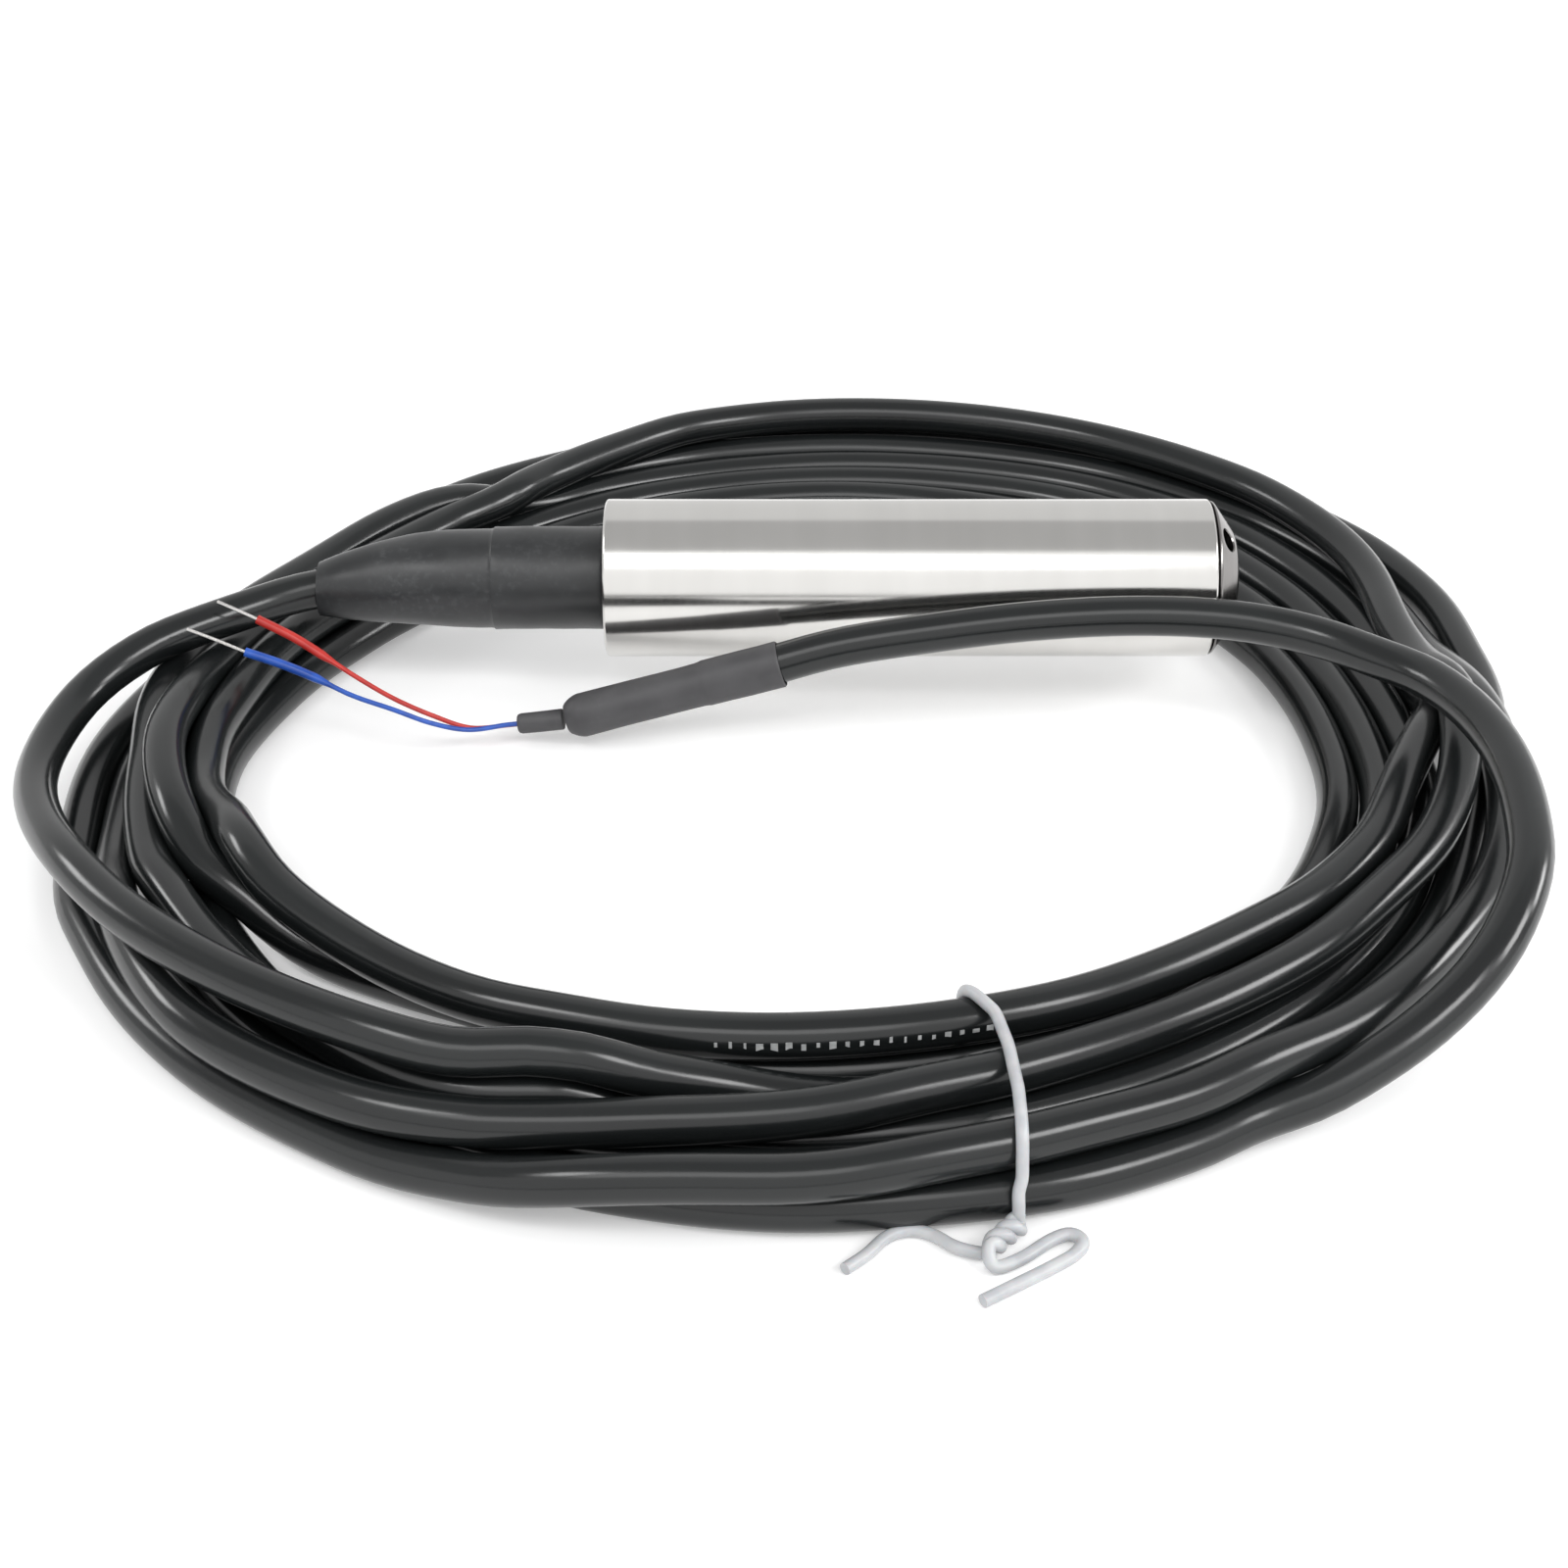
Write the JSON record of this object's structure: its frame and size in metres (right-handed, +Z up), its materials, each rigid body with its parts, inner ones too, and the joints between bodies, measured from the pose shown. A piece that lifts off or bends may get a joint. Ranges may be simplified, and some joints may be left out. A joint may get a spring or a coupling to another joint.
{
  "type": "submersible level transmitter",
  "caption": "Submersible level transmitter: brushed steel probe with a ported nose, shrunk sleeve and a loosely coiled black cable with bare-ended cores",
  "frame": {"origin": "centre of the flat tip of the nose", "axes": "+X along the probe's axis out of the nose, +Y across the coil away from the viewer, +Z up from the surface the coil lies on"},
  "size_m": [0.2718, 0.2839, 0.0374],
  "materials": {
    "housing_steel": "turned and brushed stainless steel",
    "nose_steel": "darker machined stainless steel",
    "inner_steel": "machined stainless steel",
    "seal_rubber": "black seal rubber",
    "ceramic": "glass and ceramic insulation",
    "brass": "machined brass",
    "red_insulation": "red core insulation",
    "blue_insulation": "blue core insulation",
    "vent_clear": "clear vent tubing and white insulation",
    "chip_black": "moulded component bodies",
    "liner_film": "amber insulating film",
    "nylon": "natural nylon",
    "board_green": "coated circuit board",
    "trimmer_blue": "blue trimmer housings",
    "terminal_green": "green terminal housing",
    "tinned_metal": "tinned copper and plated metal",
    "sleeve_black": "satin black shrunk sleeve with faint scuffs",
    "cable_black": "slightly glossy black cable jacket",
    "boot_grey": "matt dark grey shrunk sleeve",
    "tie_white": "white plastic-coated wire"
  },
  "bodies": {
    "root": {"housing_tube": "housing_steel", "nose_cap": "nose_steel", "sensor_carrier": "inner_steel", "cell_o_ring": "seal_rubber", "sensor_diaphragm": "nose_steel", "sensor_cell": "inner_steel", "cell_header": "ceramic", "cell_retainer": "brass", "vent_capillary": "inner_steel", "sensor_lead_1": "red_insulation", "sensor_lead_2": "blue_insulation", "sensor_lead_3": "vent_clear", "sensor_lead_4": "chip_black", "insulating_liner": "liner_film", "board_holder_front": "nylon", "board_holder_rear": "nylon", "circuit_board": "board_green", "amplifier_chip": "chip_black", "loop_driver_chip": "chip_black", "filter_capacitor": "tinned_metal", "zero_trimmer": "trimmer_blue", "span_trimmer": "trimmer_blue", "zero_trimmer_screw": "brass", "span_trimmer_screw": "brass", "surge_arrester": "ceramic", "terminal_block": "terminal_green", "terminal_screw_1": "tinned_metal", "terminal_screw_2": "tinned_metal", "rear_cap": "inner_steel", "rear_o_ring": "seal_rubber", "seal_bush": "seal_rubber", "clamp_washer": "brass", "gland_nut": "inner_steel", "rear_sleeve": "sleeve_black", "cable_jacket_end": "cable_black", "red_core": "red_insulation", "blue_core": "blue_insulation", "vent_tube": "vent_clear", "cable_coil": "cable_black", "cable_lead_in": "cable_black", "cable_lead_out": "cable_black", "end_boot": "boot_grey", "end_collar": "boot_grey", "red_wire": "red_insulation", "blue_wire": "blue_insulation", "red_wire_tip": "tinned_metal", "blue_wire_tip": "tinned_metal", "cable_tie": "tie_white"}
  },
  "joints": []
}
